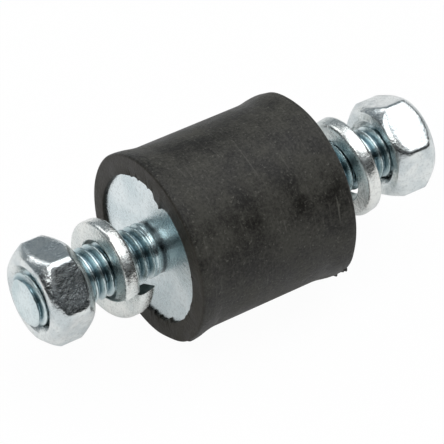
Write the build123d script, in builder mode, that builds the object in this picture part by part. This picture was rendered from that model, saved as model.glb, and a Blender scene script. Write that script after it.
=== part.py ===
from build123d import *
import os
from math import cos, radians, sin, sqrt, tan

# Bobbin vibration mount: a rubber cylinder bonded between two steel end plates. Each plate carries
# a headed M6 stud that points away from the rubber. A split spring washer hangs loosely on each
# stud, and a hexagon nut is screwed on near the stud's end.
#
# The studs lie along X, Z points up, and the origin is the middle of the rubber.
# Lengths are in millimetres and angles in degrees.

# Rubber, with its waist set in from the rims and its lips reaching in over the end plates
rubber_length = 19.15
rim_diameter = 20.8
rim_land = 0.3
rim_corner_chamfer = 0.25
waist_depth = 0.35
flare_length = 2.7
lip_thickness = 0.35
lip_overlap = 1.0

# End plates, set in from the rims by the rubber that covers their edges
plate_cover = 1.2
plate_thickness = 1.5

# Studs, an M6 thread with its crests a little under size and a neck just below them
thread_diameter = 5.9
stud_length = 15.3
stud_tip_chamfer = 0.45
neck_step = 0.1
neck_length = 0.5
head_diameter = 10.0
head_thickness = 1.5

# Hexagon nuts
nut_across_flats = 9.8
nut_corner_rounding = 0.5
nut_thickness = 5.0
nut_face_inset = 0.5
nut_chamfer_angle = 45.0
nut_countersink = 0.3
thread_clearance = 0.05

# Split spring washers, whose bore is larger than the thread by the play
washer_play = 0.8
washer_width = 2.0
washer_thickness = 1.6
washer_free_height = 3.4
washer_inner_chamfer = 0.35
split_gap = 0.45
split_slant_angle = 12.0
washer_clearance = 0.02

# How the loose pieces have been left on each stud. A washer's standoff runs from the plate's face
# to the washer's middle, and a nut's setback from the stud's tip to the nut's outer face. A turn
# goes round the stud from +Y towards +Z. A tip moves a washer's top outwards, and a swing moves
# its +Y side outwards.
left_washer_standoff = 5.15
left_washer_tip_angle = -4.0
left_washer_swing_angle = 5.5
left_split_turn_angle = 182.0
left_nut_setback = 0.8
left_nut_turn_angle = 50.4
right_washer_standoff = 6.2
right_washer_tip_angle = -6.5
right_washer_swing_angle = -5.0
right_split_turn_angle = 320.0
right_nut_setback = 0.3
right_nut_turn_angle = 32.7

# Worked out from the sizes above
rim_radius = rim_diameter / 2
waist_radius = rim_radius - waist_depth
plate_radius = rim_radius - plate_cover
plate_face = rubber_length / 2 - lip_thickness
thread_radius = thread_diameter / 2
neck_radius = thread_radius - neck_step
bore_radius = (thread_diameter + washer_play) / 2
coil_radius = bore_radius + washer_width / 2
nut_corner_radius = nut_across_flats / sqrt(3)
nut_face_radius = nut_across_flats / 2 - nut_face_inset
nut_chamfer_depth = (nut_corner_radius - nut_face_radius) * tan(radians(nut_chamfer_angle))

sides = (("left", -1), ("right", 1))


def section_plane(side, standoff=0.0):
    """Plane of a half section: its x runs out along the stud and its y runs up."""
    origin = (side * (plate_face + standoff), 0, 0)
    return Plane(origin=origin, x_dir=(side, 0, 0), z_dir=(0, -side, 0))


def cross_plane(side, standoff, turn_angle=0.0, tip_angle=0.0, swing_angle=0.0, drop=0.0):
    """Plane across the stud: its z points out, and its x points turn_angle round the stud."""
    origin = (side * (plate_face + standoff), 0, -drop)
    square = Plane(origin=origin, x_dir=(0, 1, 0), z_dir=(side, 0, 0))
    return Plane(square.location * Rotation(side * tip_angle, -swing_angle, side * turn_angle))


os.makedirs("parts", exist_ok=True)

# End plates: stamped discs with a hole for the stud.
inserts = []
for name, side in sides:
    with BuildPart() as end_plate:
        with BuildSketch(cross_plane(side, -plate_thickness)):
            Circle(plate_radius)
            Circle(neck_radius, mode=Mode.SUBTRACT)
        extrude(amount=plate_thickness)
    end_plate.part.label = f"end_plate_{name}"
    export_step(end_plate.part, f"parts/end_plate_{name}.step")
    inserts.append(end_plate.part)

# Studs: the flat head sits behind the plate, the neck fills the plate's hole, and the thread
# starts a short way out from the face.
for name, side in sides:
    with BuildPart() as stud:
        with BuildSketch(section_plane(side)):
            with BuildLine():
                head_back = -plate_thickness - head_thickness
                head_radius = head_diameter / 2
                Polyline(
                    (head_back, 0),
                    (head_back, head_radius),
                    (-plate_thickness, head_radius),
                    (-plate_thickness, neck_radius),
                    (neck_length, neck_radius),
                    (neck_length + neck_step, thread_radius),
                    (stud_length - stud_tip_chamfer, thread_radius),
                    (stud_length, thread_radius - stud_tip_chamfer),
                    (stud_length, 0),
                    close=True,
                )
            make_face()
        revolve(axis=Axis.X)
    stud.part.label = f"stud_{name}"
    export_step(stud.part, f"parts/stud_{name}.step")
    inserts.append(stud.part)

# Rubber body: waisted between two flared rims. It is moulded round the plates and the stud heads,
# and a thin lip of it folds over each plate's face.
with BuildPart() as rubber_body:
    with BuildSketch(Plane.XZ):
        with BuildLine():
            end = rubber_length / 2
            rim_start = end - rim_corner_chamfer - rim_land
            flare_start = rim_start - flare_length
            Line((0, 0), (0, waist_radius))
            Line((0, waist_radius), (flare_start, waist_radius))
            Line((flare_start, waist_radius), (rim_start, rim_radius))
            Polyline((rim_start, rim_radius), (end, rim_radius), (end, 0), (0, 0))
        half_section = make_face()
        rim_corner = half_section.vertices().sort_by(Axis.Y)[-2:].sort_by(Axis.X)[-1]
        chamfer(rim_corner, length=rim_corner_chamfer)
        with Locations((end, 0)):
            Rectangle(2 * lip_thickness, 2 * (plate_radius - lip_overlap), mode=Mode.SUBTRACT)
        mirror(about=Plane.YZ)
    revolve(axis=Axis.X)
    for insert in inserts:
        add(insert, mode=Mode.SUBTRACT)
rubber_body.part.label = "rubber_body"
export_step(rubber_body.part, "parts/rubber_body.step")

# Spring washers: one left-handed turn of flat wire, cut through on a slant. Each bore rests on top
# of the thread, so the washer hangs low on its stud. A tipped bore touches the thread sooner.
washers = (
    (
        "left", -1, left_washer_standoff,
        left_washer_tip_angle, left_washer_swing_angle, left_split_turn_angle,
    ),
    (
        "right", 1, right_washer_standoff,
        right_washer_tip_angle, right_washer_swing_angle, right_split_turn_angle,
    ),
)
for name, side, standoff, tip_angle, swing_angle, turn_angle in washers:
    tip_loss = washer_thickness / 2 * sin(radians(abs(tip_angle)))
    drop = bore_radius * cos(radians(tip_angle)) - tip_loss - washer_clearance - thread_radius
    hub = cross_plane(side, standoff, turn_angle, tip_angle, swing_angle, drop)
    turn_height = washer_free_height - washer_thickness
    turn = Helix(pitch=turn_height, height=turn_height, radius=coil_radius, lefthand=True)
    turn = hub.offset(-turn_height / 2).location * turn
    with BuildPart() as spring_washer:
        with BuildSketch(Plane(origin=turn @ 0, x_dir=hub.x_dir, z_dir=turn % 0)):
            wire = Rectangle(washer_width, washer_thickness)
            chamfer(wire.vertices().group_by(Axis.X)[0], length=washer_inner_chamfer)
        sweep(path=turn, is_frenet=True)
        with BuildSketch(Plane(origin=hub.origin, x_dir=hub.y_dir, z_dir=hub.x_dir)):
            Rectangle(split_gap, 2 * washer_free_height, rotation=split_slant_angle)
        extrude(amount=coil_radius + washer_width, mode=Mode.SUBTRACT)
    spring_washer.part.label = f"spring_washer_{name}"
    export_step(spring_washer.part, f"parts/spring_washer_{name}.step")

# Hexagon nuts: a bar with rounded corners, both faces chamfered down to a flat circle, and a
# countersunk bore that clears the crests of the thread.
nuts = (
    ("left", -1, left_nut_setback, left_nut_turn_angle),
    ("right", 1, right_nut_setback, right_nut_turn_angle),
)
for name, side, setback, turn_angle in nuts:
    standoff = stud_length - setback - nut_thickness
    base = cross_plane(side, standoff, turn_angle)
    with BuildPart() as hex_nut:
        with BuildSketch(base):
            hexagon = RegularPolygon(nut_across_flats / 2, side_count=6, major_radius=False)
            fillet(hexagon.vertices(), radius=nut_corner_rounding)
        extrude(amount=nut_thickness)
        with BuildSketch(section_plane(side, standoff)):
            with BuildLine():
                Polyline(
                    (0, 0),
                    (0, nut_face_radius),
                    (nut_chamfer_depth, nut_corner_radius),
                    (nut_thickness - nut_chamfer_depth, nut_corner_radius),
                    (nut_thickness, nut_face_radius),
                    (nut_thickness, 0),
                    close=True,
                )
            make_face()
        revolve(axis=Axis.X, mode=Mode.INTERSECT)
        with BuildSketch(base):
            Circle(thread_radius + thread_clearance)
        extrude(amount=nut_thickness, mode=Mode.SUBTRACT)
        mouths = hex_nut.edges().filter_by(GeomType.CIRCLE).sort_by(SortBy.RADIUS)[:2]
        chamfer(mouths, length=nut_countersink)
    hex_nut.part.label = f"hex_nut_{name}"
    export_step(hex_nut.part, f"parts/hex_nut_{name}.step")
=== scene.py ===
# %% [markdown]
# # A bobbin vibration mount
# The mount is a short rubber cylinder with a threaded stud at each end. A machine's foot bolts to
# one stud and its frame to the other, and the rubber between them soaks up the shaking. This lesson
# dresses the plain solids of the mount: it turns the rubber with its torn moulding lip, cuts real
# threads, bends the spring washers, rounds the nuts, and gives each piece its finish.

# %% Load the solids
import math
import bpy
from mathutils import Matrix, Vector, noise


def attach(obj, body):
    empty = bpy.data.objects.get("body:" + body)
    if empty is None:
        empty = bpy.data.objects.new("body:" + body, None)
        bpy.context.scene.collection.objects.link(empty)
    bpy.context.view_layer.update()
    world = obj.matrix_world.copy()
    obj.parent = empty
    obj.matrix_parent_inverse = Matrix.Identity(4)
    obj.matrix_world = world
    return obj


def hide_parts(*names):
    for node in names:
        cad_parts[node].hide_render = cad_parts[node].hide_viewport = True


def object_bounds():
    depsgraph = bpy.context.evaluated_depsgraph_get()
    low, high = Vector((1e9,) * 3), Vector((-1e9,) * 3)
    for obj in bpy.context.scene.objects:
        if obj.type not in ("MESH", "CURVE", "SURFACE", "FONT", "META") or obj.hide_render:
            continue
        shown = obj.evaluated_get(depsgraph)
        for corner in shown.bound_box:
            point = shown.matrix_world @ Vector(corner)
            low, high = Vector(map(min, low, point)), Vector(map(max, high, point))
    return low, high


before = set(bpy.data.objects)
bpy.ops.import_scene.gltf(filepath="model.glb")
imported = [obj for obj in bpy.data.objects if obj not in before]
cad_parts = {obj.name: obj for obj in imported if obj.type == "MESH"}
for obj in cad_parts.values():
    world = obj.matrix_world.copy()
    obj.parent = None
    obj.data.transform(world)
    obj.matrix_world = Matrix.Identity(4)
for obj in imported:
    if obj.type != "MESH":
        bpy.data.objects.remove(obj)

MM = 0.001


def in_mm(box):
    return [[round(value / MM, 2) for value in corner] for corner in box]


cad_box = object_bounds()
print("solids:", sorted(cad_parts))
print("box in mm:", in_mm(cad_box))

# %% [markdown]
# ## Sizes
# Every size is in millimetres. The rubber, the plates and the studs have the sizes of their solids.
# The washers and the nuts were measured again, more closely, after their solids were made, so some
# of their sizes are a few tenths off the solids'. The studs lie along X. "Out" always means away
# from the rubber, so it is -X on the left and +X on the right. An angle round the studs starts at
# +Y and grows towards +Z.

# %% Sizes of the real parts
RUBBER_HALF = 19.15 / 2
RIM_RADIUS = 10.4
WAIST_RADIUS = 10.05
RIM_CORNER = 0.25
RIM_LAND = 0.3
FLARE_LENGTH = 2.7
LIP_THICKNESS = 0.35
LIP_OPENING = 8.2
PLATE_RADIUS = 9.2
PLATE_THICKNESS = 1.5
PLATE_FACE = RUBBER_HALF - LIP_THICKNESS
PLATE_BACK = PLATE_FACE - PLATE_THICKNESS
CREST_RADIUS = 2.95
NECK_RADIUS = 2.85
NECK_LENGTH = 0.5
STUD_LENGTH = 15.3
STUD_TIP = PLATE_FACE + STUD_LENGTH
TIP_CHAMFER = 0.45
HEAD_RADIUS = 5.0
HEAD_THICKNESS = 1.5
HEAD_BACK = PLATE_FACE - PLATE_THICKNESS - HEAD_THICKNESS
PITCH = 1.0
NUT_THICKNESS = 5.0
NUT_BORE = 3.0
NUT_COUNTERSINK = 0.72
WASHER_BORE = 3.45
WASHER_WIDTH = 2.05
WASHER_THICKNESS = 1.8
WASHER_HEIGHT = 3.75
SPLIT_GAP = 0.15
SPLIT_SLANT = 12.0
SPLIT_SKEW = 30.0
SIDES = {"left": -1, "right": 1}
print("stud tip at", round(STUD_TIP, 2), "mm from the middle")

# %% [markdown]
# ## Turning a shape
# Most of these pieces are turned or nearly so. One helper sweeps a profile round the X axis. The
# profile may change with the angle, which is what lets the same helper make a ragged lip or a
# hexagon. A point on the axis becomes one shared vertex, so each end closes without a hole. A shape
# whose faces point inwards has a negative volume, and the helper turns such faces round.

# %% The lathe
ON_AXIS = 1e-6


def angle_steps(count):
    return [2 * math.pi * k / count for k in range(count)]


def signed_volume(mesh):
    total = 0.0
    for face in mesh.polygons:
        points = [mesh.vertices[v].co for v in face.vertices]
        for b, c in zip(points[1:-1], points[2:]):
            total += points[0].dot(b.cross(c))
    return total / 6


def shade(mesh, sharp_angle):
    """Smooth shading, except across edges sharper than an angle in degrees."""
    for face in mesh.polygons:
        face.use_smooth = True
    mesh.set_sharp_from_angle(angle=math.radians(sharp_angle))


def turned(name, profile, angles, closed=False, sharp_angle=40):
    """Mesh of profile(angle) -> [(x, r), ...] swept round X. A closed profile joins its ends."""
    verts, columns = [], []
    poles = {}
    for a in angles:
        column = []
        for row, (x, r) in enumerate(profile(a)):
            if r < ON_AXIS:
                if row not in poles:
                    poles[row] = len(verts)
                    verts.append((x * MM, 0.0, 0.0))
                column.append(poles[row])
            else:
                column.append(len(verts))
                verts.append((x * MM, r * math.cos(a) * MM, r * math.sin(a) * MM))
        columns.append(column)
    faces = []
    for here, there in zip(columns, columns[1:] + columns[:1]):
        rows = len(here)
        for j in range(rows if closed else rows - 1):
            k = (j + 1) % rows
            ring = [here[j], here[k], there[k], there[j]]
            corners = [v for n, v in enumerate(ring) if v not in ring[:n]]
            if len(corners) > 2:
                faces.append(corners)
    mesh = bpy.data.meshes.new(name)
    mesh.from_pydata(verts, [], faces)
    mesh.update()
    if signed_volume(mesh) < 0:
        mesh.flip_normals()
    shade(mesh, sharp_angle)
    return mesh


# %% Place a piece and tell its size
def place(name, mesh):
    piece = bpy.data.objects.new(name, mesh)
    bpy.context.collection.objects.link(piece)
    return piece


def tell(piece):
    volume = signed_volume(piece.data) / MM ** 3
    print(f"{piece.name}: {len(piece.data.polygons)} faces, {volume:.1f} mm3")


# %% [markdown]
# ## The rubber's lip
# The rubber is moulded round the two end plates, so its ends are cups that the plates fill, and a
# thin lip of it creeps over each plate's face. Where the part was pulled from its mould, the lip
# tore. A torn lip is modelled rather than painted: its inner edge gets a radius that changes with
# the angle, from broad waves, fine teeth and a few long tongues. In each table, -1 is the left end
# and 1 the right end.

# %% The lip's torn edge
LIP_WAVE, WAVE_SCALE = 0.05, 1.5
LIP_TEETH, TOOTH_SCALE = 0.07, 28
FINE_TEETH, FINE_TOOTH_SCALE = 0.6, 70
TOOTH_BIAS = 0.3
LIP_SEED = {-1: 3.1, 1: 8.7}
# Each tongue: the angle where it starts, on its steep side, where it ends, and how far it reaches.
TONGUES = {
    -1: (
        (96.5, 119.0, 1.25), (240.0, 250.0, 0.45), (263.0, 267.5, 0.4), (76.5, 78.5, 0.35),
        (89.5, 91.5, 0.5), (67.5, 69.0, 0.25), (105.0, 108.5, 0.35), (166.0, 169.0, 0.18),
        (204.0, 207.0, 0.18), (211.5, 214.0, 0.2), (255.5, 258.0, 0.25),
    ),
    1: ((30.0, 41.0, 0.5), (118.0, 121.0, 0.3), (205.0, 222.0, 0.7), (300.0, 304.0, 0.3)),
}
STEEP_SHARE = 0.08
TONGUE_TAPER = 0.8
# How rough the edge is: plain, and from one angle to another.
PLAIN_EDGE = 0.35
TOOTHY = {
    -1: ((60.0, 122.0, 1.5), (200.0, 292.0, 1.2)),
    1: ((20.0, 60.0, 1.2), (190.0, 250.0, 1.4)),
}


def round_noise(degrees, scale, seed):
    """Smooth noise that joins up after a full turn."""
    t = math.radians(degrees)
    return noise.noise(Vector((scale * math.cos(t), scale * math.sin(t), seed)))


def lip_edge(side, degrees):
    degrees %= 360
    roughness = PLAIN_EDGE
    for start, end, amount in TOOTHY[side]:
        if start < degrees < end:
            roughness = amount
    seed = LIP_SEED[side]
    radius = LIP_OPENING + LIP_WAVE * round_noise(degrees, WAVE_SCALE, seed)
    teeth = round_noise(degrees, TOOTH_SCALE, seed + 5)
    teeth += FINE_TEETH * round_noise(degrees, FINE_TOOTH_SCALE, seed + 9)
    radius -= LIP_TEETH * roughness * (teeth + TOOTH_BIAS)
    for start, end, reach in TONGUES[side]:
        if start < degrees < end:
            along = (degrees - start) / (end - start)
            steep = min(1.0, along / STEEP_SHARE)
            radius -= reach * steep * (1 - along) ** TONGUE_TAPER
    return radius


for name, side in SIDES.items():
    edge = [lip_edge(side, degrees) for degrees in range(360)]
    print(name, "lip opens to a radius of", round(min(edge), 2), "to", round(max(edge), 2), "mm")

# %% [markdown]
# ## Wear on the rims and the lips
# No two ends come out alike. Hand trimming leaves the rims a little out of round, with a few crumbs
# of flash, and a lip is wider in some places than in others. Each such spot is one smooth hill or
# hollow, so a table of them is all that it takes, and another spot is one more entry.

# %% Hills and hollows round an end
# Each entry: its middle angle, its half width in degrees, and its height.
RIM_WEAR = {
    -1: ((248.0, 16.0, -0.12), (224.0, 3.5, 0.12), (40.0, 25.0, 0.05)),
    1: ((52.0, 14.0, -0.12), (82.0, 25.0, -0.08), (140.0, 14.0, 0.07), (205.0, 17.0, 0.12)),
}
RIM_CRUMBS = {
    -1: (),
    1: ((212.5, 1.6, 0.28), (216.0, 1.0, 0.15), (226.0, 1.0, 0.22), (233.0, 1.2, 0.12)),
}
LIP_WEAR = {
    -1: ((0.0, 36.0, 0.36), (60.0, 12.0, -0.1), (107.0, 8.0, -0.5), (245.0, 8.0, 0.1),
         (195.0, 8.0, -0.1)),
    1: (),
}
RIM_WAVE, RIM_WAVE_SCALE, RIM_SEED = 0.012, 3, 21


def worn(wear, degrees):
    """Height of all the hills and hollows at one angle."""
    total = 0.0
    for middle, half_width, height in wear:
        off = (degrees - middle + 180) % 360 - 180
        if abs(off) < half_width:
            total += height * math.cos(off / half_width * math.pi / 2) ** 2
    return total


def rim_radius(side, degrees):
    wave = RIM_WAVE * round_noise(degrees, RIM_WAVE_SCALE, RIM_SEED + side)
    true_rim = RIM_RADIUS - RIM_WAVE + wave
    return true_rim + worn(RIM_WEAR[side], degrees)


for name, side in SIDES.items():
    rim = [rim_radius(side, degrees) for degrees in range(360)]
    print(name, "rim's radius is", round(min(rim), 2), "to", round(max(rim), 2), "mm")

# %% [markdown]
# ## The rubber body
# The body is a bobbin: it flares to a rim at each end, with a shallow waist between. Its profile
# runs from the axis, out through the pocket for the stud's head and the plate, over the lip and
# round the rim, down the flare and along the waist, and back in the same way at the other end. A
# long tongue of the lip is thinner than the rest, since little rubber flowed that far.

# %% The rubber's profile
TONGUE_STARTS = LIP_OPENING - 0.15
THIN_FROM, THIN_SPAN, THINNING = 8.6, 1.5, 0.22
LIP_ROUND = 0.1
END_RINGS = (8.9, 9.6)
CORNER_STEPS = 5
FLARE_STEPS = 8
FLARE_EASE = 0.08
WAIST_RING = 2.0


def arc(centre, radius, start, end, steps):
    """Points on a circle of the profile, from one angle in degrees to another."""
    turns = [math.radians(start + (end - start) * k / steps) for k in range(steps + 1)]
    return [(centre[0] + radius * math.cos(t), centre[1] + radius * math.sin(t)) for t in turns]


def lip_crest(lip):
    """How far out the lip's top lies, where the lip reaches in to a given radius."""
    thin = min(1.0, (THIN_FROM - lip) / THIN_SPAN) if lip < TONGUE_STARTS else 0.0
    return RUBBER_HALF - THINNING * max(0.0, thin)


def rubber_end(side, angle):
    """Profile from the axis out to the start of the waist, for one end."""
    degrees = math.degrees(angle)
    pocket = [(HEAD_BACK, 0.0), (HEAD_BACK, HEAD_RADIUS), (PLATE_BACK, HEAD_RADIUS),
              (PLATE_BACK, PLATE_RADIUS), (PLATE_FACE, PLATE_RADIUS)]
    lip = lip_edge(side, degrees) + worn(LIP_WEAR[side], degrees)
    crest = lip_crest(lip)
    edge = [(PLATE_FACE, lip), (crest - LIP_ROUND, lip + 0.01), (crest - 0.03, lip + 0.05),
            (crest, lip + 0.14)]
    flat = [(RUBBER_HALF, r) for r in END_RINGS]
    rim = rim_radius(side, degrees)
    crumb = rim + worn(RIM_CRUMBS[side], degrees)
    corner = arc((RUBBER_HALF - RIM_CORNER, crumb - RIM_CORNER), RIM_CORNER, 0, 90, CORNER_STEPS)
    land_end = RUBBER_HALF - RIM_CORNER - RIM_LAND
    flare = [(land_end, rim)]
    for k in range(1, FLARE_STEPS + 1):
        along = k / FLARE_STEPS
        eased = 1 - along + FLARE_EASE * math.sin(2 * math.pi * along)
        flare.append((land_end - FLARE_LENGTH * along,
                      WAIST_RADIUS + (rim - WAIST_RADIUS) * eased))
    return pocket + edge + flat + corner + flare


def rubber_profile(angle):
    left = [(-x, r) for x, r in rubber_end(-1, angle)]
    right = rubber_end(1, angle)
    waist = [(-WAIST_RING, WAIST_RADIUS), (WAIST_RING, WAIST_RADIUS)]
    return left + waist + right[::-1]


# %% Turn the rubber
TEAR_STEPS = 720
rubber = place("rubber_body_moulded", turned("rubber", rubber_profile, angle_steps(TEAR_STEPS)))
tell(rubber)

# %% [markdown]
# ## Building node trees
# The threads and the washers follow a rule, so Geometry Nodes make them. A node tree is easier to
# read as formulas than as boxes, so a small builder wraps it and writes one node for each step of
# arithmetic. The same builder serves the finishes and the sky. A second class starts a new group
# with named inputs and outputs.

# %% A small builder for node trees
class Nodes:
    """Any node tree, written as formulas."""

    def __init__(self, tree):
        self.tree = tree

    def node(self, kind, inputs=None, **settings):
        made = self.tree.nodes.new(kind)
        for key, value in settings.items():
            setattr(made, key, value)
        for key, value in (inputs or {}).items():
            self.feed(made.inputs[key], value)
        return made

    def feed(self, socket, value):
        if isinstance(value, bpy.types.NodeSocket):
            self.tree.links.new(value, socket)
        else:
            socket.default_value = value

    def maths(self, operation, *values):
        made = self.node("ShaderNodeMath", operation=operation)
        for socket, value in zip(made.inputs, values):
            self.feed(socket, value)
        return made.outputs[0]

    def length(self, a, b):
        return self.maths("SQRT", self.maths("MULTIPLY_ADD", a, a, self.maths("MULTIPLY", b, b)))

    def split(self, vector):
        return self.node("ShaderNodeSeparateXYZ", {"Vector": vector}).outputs

    def ease(self, value, low, high, out_low=0.0, out_high=1.0, kind="SMOOTHSTEP"):
        made = self.node("ShaderNodeMapRange", {"Value": value}, interpolation_type=kind)
        for key, given in (("From Min", low), ("From Max", high),
                           ("To Min", out_low), ("To Max", out_high)):
            self.feed(made.inputs[key], given)
        return made.outputs["Result"]

    def cloud(self, vector, scale, detail, roughness=0.55):
        return self.node("ShaderNodeTexNoise", {"Vector": vector, "Scale": scale,
                                                "Detail": detail,
                                                "Roughness": roughness}).outputs["Fac"]

    def mix(self, factor, first, second):
        # A Mix node lists its colour sockets after those for numbers and vectors.
        made = self.node("ShaderNodeMix", {0: factor}, data_type="RGBA")
        self.feed(made.inputs[6], first)
        self.feed(made.inputs[7], second)
        return made.outputs[2]


class Group(Nodes):
    """A new node group with named inputs and outputs."""

    def __init__(self, name, kind, inputs, outputs):
        super().__init__(bpy.data.node_groups.new(name, kind))
        for label, socket, value in inputs:
            made = self.tree.interface.new_socket(label, in_out="INPUT", socket_type=socket)
            if value is not None:
                made.default_value = value
        for label, socket in outputs:
            self.tree.interface.new_socket(label, in_out="OUTPUT", socket_type=socket)
        self.given = self.tree.nodes.new("NodeGroupInput").outputs
        self.result = self.tree.nodes.new("NodeGroupOutput").inputs


FLOAT, VECTOR, COLOUR = "NodeSocketFloat", "NodeSocketVector", "NodeSocketColor"
GEOMETRY, MATERIAL = "NodeSocketGeometry", "NodeSocketMaterial"

# %% [markdown]
# ## Running a tree on a piece
# A geometry tree lives in a modifier. Here it is used as a tool and then put away: the inputs are
# set by their identifiers, the result is copied out as a plain mesh, and the modifier is removed.
# So each tree has to end with real geometry and with its material on it.

# %% Finish a tree, and run it
def end_tree(tree, geometry):
    """Makes instances real, puts the finish on and hands the geometry out."""
    real = tree.node("GeometryNodeRealizeInstances", {"Geometry": geometry})
    coated = tree.node("GeometryNodeSetMaterial", {"Geometry": real.outputs[0],
                                                   "Material": tree.given["Finish"]})
    tree.feed(tree.result["Geometry"], coated.outputs[0])


def grown(piece, tree, values):
    """Runs a geometry tree on a piece and keeps the result as a plain mesh."""
    modifier = piece.modifiers.new(tree.name, "NODES")
    modifier.node_group = tree
    for item in tree.interface.items_tree:
        if item.in_out == "INPUT" and item.name in values:
            modifier[item.identifier] = values[item.name]
    graph = bpy.context.evaluated_depsgraph_get()
    mesh = bpy.data.meshes.new_from_object(piece.evaluated_get(graph))
    piece.modifiers.remove(modifier)
    piece.data = mesh
    mesh.materials.clear()
    mesh.materials.append(values["Finish"])
    return mesh


# %% [markdown]
# ## What the finishes share
# Two families of finish cover the mount: a black rubber that has greyed, and zinc plate, which is a
# bluish silver with a very fine grain. Both are blotched and speckled, so that is one group, the
# mottle. The plating group places it and turns it into a colour, a roughness and a height, and each
# steel then only gives its own values.

# %% The mottle
mottle = Group(
    "mottle", "ShaderNodeTree",
    [("Vector", VECTOR, None), ("Blotch size", FLOAT, 200.0), ("Grain size", FLOAT, 2000.0)],
    [("Blotch", FLOAT), ("Grain", FLOAT)],
)
wide = mottle.cloud(mottle.given["Vector"], mottle.given["Blotch size"], detail=4.0)
fine = mottle.cloud(mottle.given["Vector"], mottle.given["Grain size"], detail=3.0, roughness=0.7)
mottle.feed(mottle.result["Blotch"], mottle.ease(wide, 0.35, 0.65))
mottle.feed(mottle.result["Grain"], mottle.ease(fine, 0.3, 0.7, kind="LINEAR"))
print("mottle:", len(mottle.tree.nodes), "nodes")

# %% The plating
PIT_SHADE = 0.82
plating = Group(
    "zinc plating", "ShaderNodeTree",
    [("Vector", VECTOR, None), ("Bright", COLOUR, (0.7, 0.74, 0.74, 1)),
     ("Tint", COLOUR, (0.5, 0.6, 0.63, 1)), ("Blotch size", FLOAT, 250.0),
     ("Grain size", FLOAT, 4000.0), ("Smooth", FLOAT, 0.2), ("Dull", FLOAT, 0.4)],
    [("Colour", COLOUR), ("Roughness", FLOAT), ("Height", FLOAT)],
)
given, spots = plating.given, plating.node("ShaderNodeGroup", node_tree=mottle.tree)
for key in ("Vector", "Blotch size", "Grain size"):
    plating.feed(spots.inputs[key], given[key])
blotch, grain = spots.outputs["Blotch"], spots.outputs["Grain"]
tinted = plating.mix(blotch, given["Bright"], given["Tint"])
pitted = plating.mix(PIT_SHADE, (0, 0, 0, 1), tinted)
plating.feed(plating.result["Colour"], plating.mix(plating.ease(grain, 0.15, 0.5), pitted, tinted))
span = plating.maths("SUBTRACT", given["Dull"], given["Smooth"])
both = plating.maths("MULTIPLY_ADD", blotch, 0.5, plating.maths("MULTIPLY", grain, 0.5))
plating.feed(plating.result["Roughness"],
             plating.maths("MULTIPLY_ADD", span, both, given["Smooth"]))
plating.feed(plating.result["Height"], grain)
print("plating:", len(plating.tree.nodes), "nodes")

# %% [markdown]
# ## The zinc-plated steels
# The plates, the nuts and the washers are plated alike, over steel that was finished differently.
# The nuts are the most polished and a little wavy from forging, the washers are duller, and the
# plates lie between. A washer's sheared ends are rough and its bore is dull because tumbling
# doesn't reach it, and both are coloured much darker than the plating, as painted shade. So each
# gets its own two colours and its own range of roughness.

# %% One material for each steel
GRAIN_HEIGHT = 0.04
WAVE_SIZE = 850.0


class Finish(Nodes):
    """A material, written in the same way as a node tree."""

    def __init__(self, name):
        self.material = bpy.data.materials.new(name)
        self.material.use_nodes = True
        super().__init__(self.material.node_tree)
        self.surface = self.tree.nodes["Principled BSDF"]
        self.here = self.node("ShaderNodeTexCoord").outputs["Object"]

    def bump(self, height, strength, distance):
        return self.node("ShaderNodeBump", {"Height": height, "Strength": strength,
                                            "Distance": distance * MM})


def zinc(name, bright, tint, smooth, dull, grain, grain_depth, blotch=220.0, waves=0.0):
    """A plated steel. Its roughness runs from smooth to dull, and its waves are in millimetres."""
    made = Finish(name)
    made.skin = made.node("ShaderNodeGroup", node_tree=plating.tree)
    for key, value in (("Vector", made.here), ("Bright", bright), ("Tint", tint),
                       ("Smooth", smooth), ("Dull", dull), ("Grain size", grain),
                       ("Blotch size", blotch)):
        made.feed(made.skin.inputs[key], value)
    made.surface.inputs["Metallic"].default_value = 1.0
    made.feed(made.surface.inputs["Base Color"], made.skin.outputs["Colour"])
    made.feed(made.surface.inputs["Roughness"], made.skin.outputs["Roughness"])
    grained = made.bump(made.skin.outputs["Height"], grain_depth, GRAIN_HEIGHT)
    if waves:
        swell = made.cloud(made.here, WAVE_SIZE, detail=3.0, roughness=0.6)
        made.feed(grained.inputs["Normal"], made.bump(swell, 1.0, waves).outputs["Normal"])
    made.feed(made.surface.inputs["Normal"], grained.outputs["Normal"])
    return made


plate_zinc = zinc("bright zinc plate", (0.72, 0.78, 0.79, 1), (0.60, 0.68, 0.70, 1),
                  smooth=0.17, dull=0.30, grain=2600.0, grain_depth=0.35)
nut_zinc = zinc("zinc nut", (0.74, 0.77, 0.76, 1), (0.58, 0.63, 0.64, 1),
                smooth=0.10, dull=0.30, grain=3600.0, grain_depth=0.35, blotch=420.0, waves=0.075)
washer_zinc = zinc("zinc washer", (0.78, 0.79, 0.76, 1), (0.64, 0.68, 0.67, 1),
                   smooth=0.16, dull=0.36, grain=3200.0, grain_depth=0.35, waves=0.05)
# Painted shade: the washer's cut ends and bore are coloured far darker than its plating.
washer_end_painted_shade = zinc("sheared washer end", (0.16, 0.19, 0.18, 1), (0.08, 0.10, 0.10, 1),
                 smooth=0.35, dull=0.6, grain=2600.0, grain_depth=0.5)
washer_bore_painted_shade = zinc("washer bore", (0.34, 0.39, 0.38, 1), (0.22, 0.27, 0.27, 1),
                 smooth=0.25, dull=0.4, grain=3200.0, grain_depth=0.35)
stud_zinc = zinc("blue zinc stud", (0.68, 0.76, 0.77, 1), (0.46, 0.57, 0.59, 1),
                 smooth=0.1, dull=0.24, grain=4500.0, grain_depth=0.3)
steels = (plate_zinc, nut_zinc, washer_zinc, washer_end_painted_shade, washer_bore_painted_shade, stud_zinc)
print("steels:", [steel.material.name for steel in steels])
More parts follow.
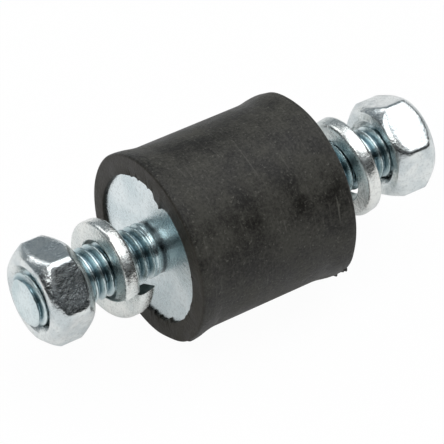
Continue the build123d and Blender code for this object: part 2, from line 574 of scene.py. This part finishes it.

# %% [markdown]
# ## Painted shade in the studs' grooves
# The stud's colour is darkened as painted shade in the thread's grooves and in the corner between
# stud and plate. Both places follow from where a point lies, its distance from the axis and from
# the plate, so the colour is darkened by those two measures.

# %% Darken the grooves and the corner
GROOVE_FLOOR, GROOVE_TOP = 2.45, 2.88
# Painted shade: a darker groove colour, and a near-black corner colour at the foot of the stud.
GROOVE_PAINTED_SHADE = (0.22, 0.31, 0.34, 1)
CORNER_PAINTED_SHADE, CORNER_COVER = (0.03, 0.04, 0.045, 1), 0.9
at = stud_zinc.split(stud_zinc.here)
off_axis = stud_zinc.length(at["Y"], at["Z"])
along_stud = stud_zinc.maths("ABSOLUTE", at["X"])
painted_groove_shade = stud_zinc.ease(off_axis, GROOVE_FLOOR * MM, GROOVE_TOP * MM, 1.0, 0.0)
not_tip = stud_zinc.ease(along_stud, (STUD_TIP - 0.3) * MM, (STUD_TIP - 0.1) * MM, 1.0, 0.0)
painted_corner_shade = stud_zinc.ease(along_stud, (PLATE_FACE + 0.12) * MM, (PLATE_FACE + 0.5) * MM,
                           CORNER_COVER, 0.0)
grooved = stud_zinc.mix(stud_zinc.maths("MULTIPLY", painted_groove_shade, not_tip),
                        stud_zinc.skin.outputs["Colour"], GROOVE_PAINTED_SHADE)
stud_zinc.feed(stud_zinc.surface.inputs["Base Color"],
               stud_zinc.mix(painted_corner_shade, grooved, CORNER_PAINTED_SHADE))
print("stud finish:", len(stud_zinc.tree.nodes), "nodes")

# %% [markdown]
# ## The bloomed rubber
# Rubber blooms: wax and dust work their way out and grey the black in soft clouds. On top lie fine
# pale streaks and a few scratches, which follow the way the piece was turned in trimming, and the
# cut ends stay browner and darker. The streaks come from noise that is squeezed along the profile
# and drawn out round the axis.

# %% The rubber's patterns
STREAK_STRETCH = 0.09
bloomed = Finish("bloomed rubber")
at = bloomed.split(bloomed.here)
off_axis = bloomed.length(at["Y"], at["Z"])
round_place = bloomed.node("ShaderNodeCombineXYZ", {
    "X": bloomed.maths("ADD", at["X"], off_axis),
    "Y": bloomed.maths("MULTIPLY", at["Y"], STREAK_STRETCH),
    "Z": bloomed.maths("MULTIPLY", at["Z"], STREAK_STRETCH)}).outputs[0]
spots = bloomed.node("ShaderNodeGroup", node_tree=mottle.tree)
for key, value in (("Vector", bloomed.here), ("Blotch size", 260.0), ("Grain size", 3000.0)):
    bloomed.feed(spots.inputs[key], value)
clouds = bloomed.cloud(bloomed.here, 380.0, detail=3.0)
crumbs = bloomed.cloud(bloomed.here, 3400.0, detail=3.0, roughness=0.75)
streaks = bloomed.cloud(round_place, 3200.0, detail=4.0, roughness=0.65)
scratches = bloomed.cloud(round_place, 1500.0, detail=2.0, roughness=0.5)
soft = bloomed.maths("MULTIPLY_ADD", spots.outputs["Blotch"], 0.5,
                     bloomed.maths("MULTIPLY", bloomed.ease(clouds, 0.34, 0.70), 0.5))
speckled = bloomed.maths("MULTIPLY_ADD", bloomed.ease(crumbs, 0.34, 0.66, -0.5, 0.5), 0.6, soft)
is_end = bloomed.ease(bloomed.maths("ABSOLUTE", at["X"]), (RUBBER_HALF - 0.12) * MM,
                      (RUBBER_HALF - 0.02) * MM, 0.0, 0.5)
print("rubber patterns:", len(bloomed.tree.nodes), "nodes")

# %% The rubber's colour, roughness and grain
COAL, CHARCOAL = (0.004, 0.0032, 0.0016, 1), (0.047, 0.0455, 0.0375, 1)
BLOOM, CUT_BROWN = (0.15, 0.147, 0.126, 1), (0.020, 0.014, 0.006, 1)
RUBBER_GRAIN = 0.07
tone = bloomed.mix(speckled, COAL, CHARCOAL)
for mask in (bloomed.ease(streaks, 0.55, 0.8, 0.0, 0.35),
             bloomed.ease(scratches, 0.7, 0.82, 0.0, 0.5),
             bloomed.ease(spots.outputs["Grain"], 0.75, 1.0, 0.0, 0.5)):
    tone = bloomed.mix(mask, tone, BLOOM)
tone = bloomed.mix(is_end, tone, CUT_BROWN)
bloomed.feed(bloomed.surface.inputs["Base Color"], tone)
bloomed.surface.inputs["Specular IOR Level"].default_value = 0.3
bloomed.feed(bloomed.surface.inputs["Roughness"],
             bloomed.ease(soft, 0.0, 1.0, 0.42, 0.66, kind="LINEAR"))
uneven = bloomed.maths("MULTIPLY_ADD", streaks, 0.5,
                       bloomed.maths("MULTIPLY_ADD", clouds, 2.0, crumbs))
bloomed.feed(bloomed.surface.inputs["Normal"],
             bloomed.bump(uneven, 0.7, RUBBER_GRAIN).outputs["Normal"])
print("rubber finish:", len(bloomed.tree.nodes), "nodes")

# %% [markdown]
# ## The thread
# The solid stud is a plain bar at the size of its thread's crests. The blank is turned to that
# shape with closely spaced rings, and a tree cuts the thread into it. The rule: one turn moves the
# groove along by one pitch. So the place along the stud, less the share of a turn, tells how far a
# point is from the nearest crest, and that gives the depth of the V. The groove fades out at the
# collar, and the chamfered tip keeps its cone because a cut never raises the surface.

# %% The thread-cutting tree
FLANK_ANGLE = 60.0
cutter = Group(
    "cut a thread", "GeometryNodeTree",
    [("Geometry", GEOMETRY, None), ("Crest radius", FLOAT, 1.0), ("Pitch", FLOAT, 1.0),
     ("Depth", FLOAT, 0.6), ("Crest width", FLOAT, 0.12), ("Start", FLOAT, 0.0),
     ("Fade", FLOAT, 1.0), ("Finish", MATERIAL, None)],
    [("Geometry", GEOMETRY)],
)
given = cutter.given
px, py, pz = cutter.split(cutter.node("GeometryNodeInputPosition").outputs[0])
radius = cutter.length(py, pz)
turn_share = cutter.maths("DIVIDE", cutter.maths("ARCTAN2", pz, py), 2 * math.pi)
turns = cutter.maths("SUBTRACT", cutter.maths("DIVIDE", px, given["Pitch"]), turn_share)
to_crest = cutter.maths("MULTIPLY", cutter.maths("PINGPONG", turns, 0.5), given["Pitch"])
flank = cutter.maths("SUBTRACT", to_crest, cutter.maths("MULTIPLY", given["Crest width"], 0.5))
wanted = cutter.maths("MULTIPLY", flank, math.tan(math.radians(FLANK_ANGLE)))
depth = cutter.maths("MINIMUM", cutter.maths("MAXIMUM", wanted, 0.0), given["Depth"])
along = cutter.maths("ABSOLUTE", px)
fade = cutter.ease(along, given["Start"], cutter.maths("ADD", given["Start"], given["Fade"]))
cut_radius = cutter.maths("SUBTRACT", given["Crest radius"], cutter.maths("MULTIPLY", depth, fade))
new_radius = cutter.maths("MINIMUM", radius, cut_radius)
shrink = cutter.maths("DIVIDE", new_radius, cutter.maths("MAXIMUM", radius, ON_AXIS * MM))
moved = cutter.node("ShaderNodeCombineXYZ", {"X": px, "Y": cutter.maths("MULTIPLY", py, shrink),
                                             "Z": cutter.maths("MULTIPLY", pz, shrink)})
on_thread = cutter.maths("GREATER_THAN", along, given["Start"])
cut = cutter.node("GeometryNodeSetPosition", {"Geometry": given["Geometry"],
                                              "Selection": on_thread,
                                              "Position": moved.outputs[0]})
end_tree(cutter, cut.outputs[0])
print("thread cutter:", len(cutter.tree.nodes), "nodes")

# %% [markdown]
# ## The studs
# A stud is a headed bolt whose head is buried in the rubber. Its blank is turned like the rubber:
# head, neck, a bar with a ring at each small step, and a chamfered tip with a slightly rounded end.
# The more rings to a turn of the thread, the crisper its crests.

# %% The stud's blank
STUD_SECTORS = 120
RINGS_PER_TURN = 24
CONE_STEPS = 8
# The rounded end: how far each ring lies below the tip, and its radius.
TIP_RINGS = ((0.07, 2.44), (0.025, 2.28), (0.0, 2.1), (0.0, 1.8), (0.0, 0.0))


def stud_blank():
    """Profile of an uncut stud, from the back of its head to its tip, with x growing outwards."""
    neck_end = PLATE_FACE + NECK_LENGTH
    first = neck_end + CREST_RADIUS - NECK_RADIUS
    shoulder = STUD_TIP - TIP_CHAMFER
    rows = [(HEAD_BACK, 0.0), (HEAD_BACK, HEAD_RADIUS), (PLATE_BACK, HEAD_RADIUS),
            (PLATE_BACK, NECK_RADIUS), (PLATE_FACE, NECK_RADIUS), (neck_end, NECK_RADIUS),
            (first, CREST_RADIUS)]
    count = round((shoulder - first) / PITCH * RINGS_PER_TURN)
    rows += [(first + (shoulder - first) * k / count, CREST_RADIUS) for k in range(1, count + 1)]
    cone = [TIP_CHAMFER * k / CONE_STEPS for k in range(1, CONE_STEPS - 1)]
    rows += [(shoulder + step, CREST_RADIUS - step) for step in cone]
    return rows + [(STUD_TIP - drop, r) for drop, r in TIP_RINGS]


print("stud blank:", len(stud_blank()), "rings of", STUD_SECTORS)

# %% Turn the blanks and cut them
THREAD_VALUES = {
    "Crest radius": CREST_RADIUS * MM, "Pitch": PITCH * MM, "Depth": 0.6 * MM,
    "Crest width": 0.17 * MM, "Start": (PLATE_FACE + 0.8) * MM, "Fade": 0.7 * MM,
    "Finish": stud_zinc.material,
}
studs = {}
for name, side in SIDES.items():
    blank = turned(f"stud {name}", lambda angle: [(side * x, r) for x, r in stud_blank()],
                   angle_steps(STUD_SECTORS))
    studs[name] = place(f"stud_{name}_threaded", blank)
    shade(grown(studs[name], cutter.tree, THREAD_VALUES), 50)
    tell(studs[name])

# %% [markdown]
# ## Bending a bar
# A spring washer is a bar bent round into one turn and cut through, with its two ends sprung apart.
# The tree does the same: it sweeps the bar's section along a straight line, then bends the line
# round, lifts it as it goes, and slants and skews it, so that both cut ends lean over and cross the
# radius at an angle. The inner edges are the rounder ones, because the bar thickens there.

# %% The bar-bending tree
BAR_STEPS = 180
ROUNDING_STEPS = 6
bender = Group(
    "bend a spring washer", "GeometryNodeTree",
    [("Geometry", GEOMETRY, None), ("Bore radius", FLOAT, 1.0), ("Width", FLOAT, 1.0),
     ("Thickness", FLOAT, 1.0), ("Rise", FLOAT, 1.0), ("Gap angle", FLOAT, 0.1),
     ("Slant", FLOAT, 0.4), ("Skew", FLOAT, 0.0), ("Inner rounding", FLOAT, 0.2),
     ("Outer rounding", FLOAT, 0.1), ("Finish", MATERIAL, None)],
    [("Geometry", GEOMETRY)],
)
given = bender.given
line = bender.node("GeometryNodeCurvePrimitiveLine", {"Start": (0, 0, 0), "End": (1, 0, 0)})
steps = bender.node("GeometryNodeResampleCurve", {"Curve": line.outputs[0], "Count": BAR_STEPS})
section = bender.node("GeometryNodeCurvePrimitiveQuadrilateral",
                      {"Width": given["Width"], "Height": given["Thickness"]})
corner_x = bender.split(bender.node("GeometryNodeInputPosition").outputs[0])[0]
is_outer = bender.maths("GREATER_THAN", corner_x, 0.0)
is_inner = bender.maths("SUBTRACT", 1.0, is_outer)
rounding = bender.maths("ADD", bender.maths("MULTIPLY", is_outer, given["Outer rounding"]),
                        bender.maths("MULTIPLY", is_inner, given["Inner rounding"]))
rounded = bender.node("GeometryNodeFilletCurve", {"Curve": section.outputs[0], "Radius": rounding,
                                                  "Count": ROUNDING_STEPS}, mode="POLY")
bar = bender.node("GeometryNodeCurveToMesh", {"Curve": steps.outputs[0],
                                              "Profile Curve": rounded.outputs[0],
                                              "Fill Caps": True})
print("bar section and sweep:", len(bender.tree.nodes), "nodes")

# %% Bend, lift, slant and skew the bar
share, beside, above = bender.split(bender.node("GeometryNodeInputPosition").outputs[0])
sweep = bender.maths("SUBTRACT", 2 * math.pi, given["Gap angle"])
middle = bender.maths("MULTIPLY_ADD", given["Width"], 0.5, given["Bore radius"])
reach = bender.maths("ADD", middle, beside)
slanted = bender.maths("MULTIPLY", above, bender.maths("TANGENT", given["Slant"]))
skewed = bender.maths("MULTIPLY", beside, bender.maths("TANGENT", given["Skew"]))
lean = bender.maths("DIVIDE", bender.maths("SUBTRACT", slanted, skewed), middle)
angle = bender.maths("ADD", bender.maths("MULTIPLY", share, sweep), lean)
angle = bender.maths("MULTIPLY_ADD", given["Gap angle"], 0.5, angle)
height = bender.maths("MULTIPLY_ADD", bender.maths("SUBTRACT", share, 0.5), given["Rise"], above)
# The minus sign makes the turn left-handed, as a spring washer under a right-handed nut needs.
round_x = bender.maths("MULTIPLY", reach, bender.maths("COSINE", angle))
round_y = bender.maths("MULTIPLY", bender.maths("MULTIPLY", reach, bender.maths("SINE", angle)),
                       -1.0)
bent = bender.node("ShaderNodeCombineXYZ", {"X": round_x, "Y": round_y, "Z": height})
moved = bender.node("GeometryNodeSetPosition", {"Geometry": bar.outputs[0],
                                                "Position": bent.outputs[0]})
end_tree(bender, moved.outputs[0])
print("bar bender:", len(bender.tree.nodes), "nodes")

# %% [markdown]
# ## The spring washers
# Each washer hangs loose: its bore rests on top of the thread, and it leans a little. So its place
# is given by how it hangs. The drop follows from the bore and the thread, and a tipped bore touches
# sooner, so it drops less. The tip moves the washer's top outwards and the swing moves its +Y side
# outwards. The cut ends and the bore get finishes of their own, coloured darker as painted shade.

# %% Where a washer hangs
WASHERS = {
    "left": {"standoff": 5.08, "split": 184.0, "tip": -4.0, "swing": 5.5},
    "right": {"standoff": 6.27, "split": 320.0, "tip": -8.5, "swing": -5.0},
}
WASHER_CLEARANCE = 0.02


def washer_drop(tip):
    lean = math.radians(abs(tip))
    tip_loss = WASHER_THICKNESS / 2 * math.sin(lean)
    return WASHER_BORE * math.cos(lean) - tip_loss - WASHER_CLEARANCE - CREST_RADIUS


def hanging(side, standoff, split, tip, swing):
    """Matrix from a washer's own axes, with z out, to its place on the stud."""
    square = Matrix(((0, 0, side), (1, 0, 0), (0, side, 0))).to_4x4()
    tipped = Matrix.Rotation(math.radians(side * tip), 4, "X")
    swung = Matrix.Rotation(math.radians(-swing), 4, "Y")
    turned_round = Matrix.Rotation(math.radians(side * split), 4, "Z")
    origin = Vector((side * (PLATE_FACE + standoff), 0, -washer_drop(tip))) * MM
    return Matrix.Translation(origin) @ square @ tipped @ swung @ turned_round


for name in SIDES:
    print(name, "washer drops", round(washer_drop(WASHERS[name]["tip"]), 3), "mm")

# %% Bend the washers and hang them on the studs
WASHER_VALUES = {
    "Bore radius": WASHER_BORE * MM, "Width": WASHER_WIDTH * MM,
    "Thickness": WASHER_THICKNESS * MM, "Rise": (WASHER_HEIGHT - WASHER_THICKNESS) * MM,
    "Gap angle": SPLIT_GAP / (WASHER_BORE + WASHER_WIDTH / 2),
    "Slant": math.radians(SPLIT_SLANT), "Skew": math.radians(SPLIT_SKEW),
    "Inner rounding": 0.5 * MM, "Outer rounding": 0.16 * MM, "Finish": washer_zinc.material,
}
BORE_EDGE = WASHER_BORE + 0.3
washers = {}
for name, side in SIDES.items():
    washers[name] = place(f"spring_washer_{name}_bent", bpy.data.meshes.new(f"washer {name}"))
    mesh = grown(washers[name], bender.tree, WASHER_VALUES)
    mesh.materials.append(washer_end_painted_shade.material)
    mesh.materials.append(washer_bore_painted_shade.material)
    # Cap faces take the dark cut-end colour and bore faces take the dark bore colour, both painted
    # shade.
    for face in mesh.polygons:
        if len(face.vertices) > 4:
            face.material_index = 1
        elif math.hypot(face.center.x, face.center.y) < BORE_EDGE * MM:
            face.material_index = 2
    mesh.transform(hanging(side, **WASHERS[name]))
    shade(mesh, 45)
    tell(washers[name])

# %% [markdown]
# ## The nuts
# A hexagon nut is a hexagonal bar that was turned: its ends are coned until the corners are gone,
# and the cone meets the flats in curves. Swept round the axis, that is one profile whose outer
# radius follows a hexagon with rounded corners, and whose chamfer starts lower where the radius is
# larger. Extra rings close to each edge keep the flats flat and the edges tight.

# %% The hexagon
NUT_CORNER_ROUND = 0.85
# Angles from a corner, in degrees, with more steps close to it.
CORNER_ANGLES = (0, 0.6, 1.2, 1.8, 2.4, 3.2, 4.5, 6.5, 10, 14, 18, 22, 26)
HALF_SIDE = math.pi / 6


def hexagon_radius(angle, corner_angle, apothem):
    """Distance from the axis to a hexagon with rounded corners."""
    off_corner = (angle - corner_angle + HALF_SIDE) % (2 * HALF_SIDE) - HALF_SIDE
    off_flat = HALF_SIDE - abs(off_corner)
    centre = (apothem - NUT_CORNER_ROUND) / math.cos(HALF_SIDE)
    reach = math.atan((apothem - NUT_CORNER_ROUND) * math.tan(HALF_SIDE) / apothem)
    if off_flat <= reach:
        return apothem / math.cos(off_flat)
    inside = NUT_CORNER_ROUND ** 2 - (centre * math.sin(off_corner)) ** 2
    return centre * math.cos(off_corner) + math.sqrt(max(inside, 0.0))


def nut_angles(corner_angle):
    steps = sorted({-step for step in CORNER_ANGLES} | set(CORNER_ANGLES) | {30.0})
    return [corner_angle + math.radians(60 * k + step) for k in range(6) for step in steps]


print("nut:", len(nut_angles(0.0)), "steps round")

# %% The nut's profile
NUT_EDGE_ROUND = 0.28
CHAMFER_SLOPE = math.tan(math.radians(45))
SOFTENING = 0.03
FACE_EDGE = 0.05
CONE_RINGS = 2


def half_profile(outer, face_radius):
    """One face of the nut from its bore out to its flats, with z running into the nut."""
    mouth = NUT_BORE + NUT_COUNTERSINK
    rows = [
        (NUT_COUNTERSINK + 0.4, NUT_BORE), (NUT_COUNTERSINK, NUT_BORE), (SOFTENING, mouth - 0.02),
        (0.0, mouth + SOFTENING), (0.0, mouth + 0.2), (0.0, face_radius - 0.35),
        (0.0, face_radius - 0.12), (SOFTENING, face_radius + FACE_EDGE),
    ]
    edge = NUT_EDGE_ROUND
    for k in range(1, CONE_RINGS + 1):
        cone = outer - edge - face_radius - FACE_EDGE
        r = face_radius + FACE_EDGE + cone * k / CONE_RINGS
        rows.append(((r - face_radius) * CHAMFER_SLOPE, r))
    low = (outer - face_radius) * CHAMFER_SLOPE
    return rows + [(low + 0.1 * edge, outer - 0.35 * edge), (low + 0.7 * edge, outer),
                   (low + 2.5 * edge, outer)]


def nut_profile(angle, side, outer_face, corner_angle, apothem, face_radius):
    half = half_profile(hexagon_radius(angle, corner_angle, apothem), face_radius)
    rows = half + [(NUT_THICKNESS - z, r) for z, r in half[::-1]]
    return [(outer_face - side * z, r) for z, r in rows]


# %% [markdown]
# ## The nuts' places
# No two nuts are quite alike or screwed on equally far. A nut's setback runs from the stud's tip to
# the nut's outer face, and its turn goes to the middle of one corner. Then come half its width
# across the flats and the radius of its flat faces. A nut that isn't tightened sags by the play in
# its thread.

# %% Turn the nuts
NUTS = {
    "left": {"setback": 0.8, "turn": 51.6, "apothem": 4.97, "face": 4.45, "sag": 0.05},
    "right": {"setback": 0.36, "turn": 33.9, "apothem": 5.03, "face": 4.65, "sag": 0.16},
}
nuts = {}
for name, side in SIDES.items():
    nut = NUTS[name]
    outer_face = side * (STUD_TIP - nut["setback"])
    corner_angle = math.radians(nut["turn"])
    mesh = turned(f"nut {name}",
                  lambda angle: nut_profile(angle, side, outer_face, corner_angle,
                                            nut["apothem"], nut["face"]),
                  nut_angles(corner_angle), closed=True, sharp_angle=50)
    mesh.transform(Matrix.Translation((0, 0, -nut["sag"] * MM)))
    mesh.materials.append(nut_zinc.material)
    nuts[name] = place(f"hex_nut_{name}_rounded", mesh)
    tell(nuts[name])

# %% [markdown]
# ## Taking the solids' places
# Each new piece takes the place of its solid, which is hidden, and rides on the root body. The end
# plates stay as they are, since a flat disc needs only its finish.

# %% Replace, ride and finish
def dress(piece, node):
    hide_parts(node)
    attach(piece, "root")


rubber.data.materials.append(bloomed.material)
dress(rubber, "rubber_body")
for name in SIDES:
    dress(studs[name], f"stud_{name}")
    dress(washers[name], f"spring_washer_{name}")
    dress(nuts[name], f"hex_nut_{name}")
    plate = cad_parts[f"end_plate_{name}"]
    plate.data.materials.clear()
    plate.data.materials.append(plate_zinc.material)

# %% [markdown]
# ## The table
# The mount lies on a white table. To the camera the table glows almost white by itself, so the page
# stays clean while the mount's shadow still falls on it. Polished metal should mirror a paler table
# than the lamps alone would give, so rays that are mirrored see part of that glow too.

# %% Floor
FLOOR_SIZE = 3.0
FLOOR_GREY = 0.9
CAMERA_WHITE, MIRRORED_WHITE = 0.97, 0.5
h, floor_z = FLOOR_SIZE / 2, cad_box[0][2]
floor_mesh = bpy.data.meshes.new("table")
floor_mesh.from_pydata([(-h, -h, floor_z), (h, -h, floor_z), (h, h, floor_z), (-h, h, floor_z)],
                       [], [(0, 1, 2, 3)])
floor = place("table", floor_mesh)
white = Finish("white table")
white.surface.inputs["Base Color"].default_value = (FLOOR_GREY, FLOOR_GREY, FLOOR_GREY, 1)
white.surface.inputs["Roughness"].default_value = 0.9
white.surface.inputs["Specular IOR Level"].default_value = 0.0
rays = white.node("ShaderNodeLightPath").outputs
mirrored = white.maths("MAXIMUM", rays["Is Glossy Ray"], rays["Is Transmission Ray"])
seen = white.maths("MAXIMUM", white.maths("MULTIPLY", rays["Is Camera Ray"], CAMERA_WHITE),
                   white.maths("MULTIPLY", mirrored, MIRRORED_WHITE))
glow = white.node("ShaderNodeEmission", {"Color": (1, 1, 1, 1), "Strength": 1.0})
blend = white.node("ShaderNodeMixShader", {0: seen, 1: white.surface.outputs[0],
                                           2: glow.outputs[0]})
white.feed(white.tree.nodes["Material Output"].inputs["Surface"], blend.outputs[0])
floor_mesh.materials.append(white.material)
print("table at z", round(floor_z / MM, 2), "mm")

# %% [markdown]
# ## The room
# Polished metal shows whatever stands round it, so the world is painted like a studio: a dark room
# in front, a pale haze above it, a grey wall behind, and two soft boxes. The larger box lights the
# mount from high on its right, and the smaller one puts a white edge on the parts that face back.
# Below eye height the world is plain white, so that the horizon vanishes behind the table.

# %% World
ROOM, HAZE, WALL = (0.008, 0.010, 0.011, 1), (0.26, 0.27, 0.28, 1), (0.24, 0.27, 0.29, 1)
HAZE_FROM, HAZE_TO = 0.47, 0.60
WALL_FROM, WALL_TO = 0.1, 0.6
BACKDROP_TOP, BACKDROP_BLUR = 0.05, 0.02
# Each soft box: the way to it, its half width in degrees, and its light.
SOFT_BOXES = (((0.44, -0.03, 0.90), 30, (2.3, 2.33, 2.38, 1)),
              ((-0.15, 0.66, 0.73), 17, (1.9, 1.92, 1.95, 1)))
BOX_BLUR = 3
world = bpy.data.worlds.new("studio")
bpy.context.scene.world = world
world.use_nodes = True
sky = Nodes(world.node_tree)
direction = sky.node("ShaderNodeTexCoord").outputs["Generated"]
heading = sky.split(direction)
front = sky.mix(sky.ease(heading["Z"], HAZE_FROM, HAZE_TO), ROOM, HAZE)
studio = sky.mix(sky.ease(heading["Y"], WALL_FROM, WALL_TO), front, WALL)
for aim, half_width, light in SOFT_BOXES:
    facing = sky.node("ShaderNodeVectorMath", {0: direction, 1: tuple(Vector(aim).normalized())},
                      operation="DOT_PRODUCT")
    inside = sky.ease(facing.outputs["Value"], math.cos(math.radians(half_width + BOX_BLUR)),
                      math.cos(math.radians(half_width - BOX_BLUR)))
    studio = sky.mix(inside, studio, light)
is_backdrop = sky.ease(heading["Z"], BACKDROP_TOP, BACKDROP_TOP + BACKDROP_BLUR, 1.0, 0.0)
sky.feed(world.node_tree.nodes["Background"].inputs["Color"],
         sky.mix(is_backdrop, studio, (1, 1, 1, 1)))
print("world:", len(world.node_tree.nodes), "nodes,", len(SOFT_BOXES), "soft boxes")

# %% [markdown]
# ## The lamp
# The world lights the mount evenly. One wide lamp adds the soft shadow under it. The lamp is far
# larger than the mount, which keeps the shadow's edge soft, and it looks at the mount's middle.

# %% Key lamp
LAMP_PLACE = Vector((-160, -60, 300))
LAMP_SIZE = 220
LAMP_POWER = 0.35
light = bpy.data.lights.new("key", "AREA")
light.shape = "DISK"
light.size = LAMP_SIZE * MM
light.energy = LAMP_POWER
lamp = bpy.data.objects.new("key", light)
lamp.location = LAMP_PLACE * MM
lamp.rotation_mode = "QUATERNION"
lamp.rotation_quaternion = (-LAMP_PLACE).to_track_quat("-Z", "Y")
bpy.context.collection.objects.link(lamp)
print("lamp", round(LAMP_PLACE.length), "mm away")

# %% [markdown]
# ## The camera
# The camera stands a good way off with a long lens, so that near and far ends keep almost the same
# size, as in a catalogue. It is placed by its azimuth, its elevation and its distance from the
# point that it looks at.

# %% Camera
AZIMUTH, ELEVATION, DISTANCE = -34.389, 39.068, 298.73
LENS, SENSOR = 235.49, 36.0
AIM = Vector((-2.266, -2.897, 2.140))
a, e = math.radians(AZIMUTH), math.radians(ELEVATION)
back = Vector((math.sin(a) * math.cos(e), -math.cos(a) * math.cos(e), math.sin(e)))
camera_data = bpy.data.cameras.new("camera")
camera_data.lens = LENS
camera_data.sensor_width = SENSOR
camera_data.clip_start, camera_data.clip_end = 0.01, 10
camera = bpy.data.objects.new("camera", camera_data)
camera.location = (AIM + back * DISTANCE) * MM
camera.rotation_mode = "QUATERNION"
camera.rotation_quaternion = (-back).to_track_quat("-Z", "Y")
bpy.context.collection.objects.link(camera)
bpy.context.scene.camera = camera
bpy.context.scene.view_settings.view_transform = "Standard"
print("camera at", [round(value / MM, 1) for value in camera.location], "mm")
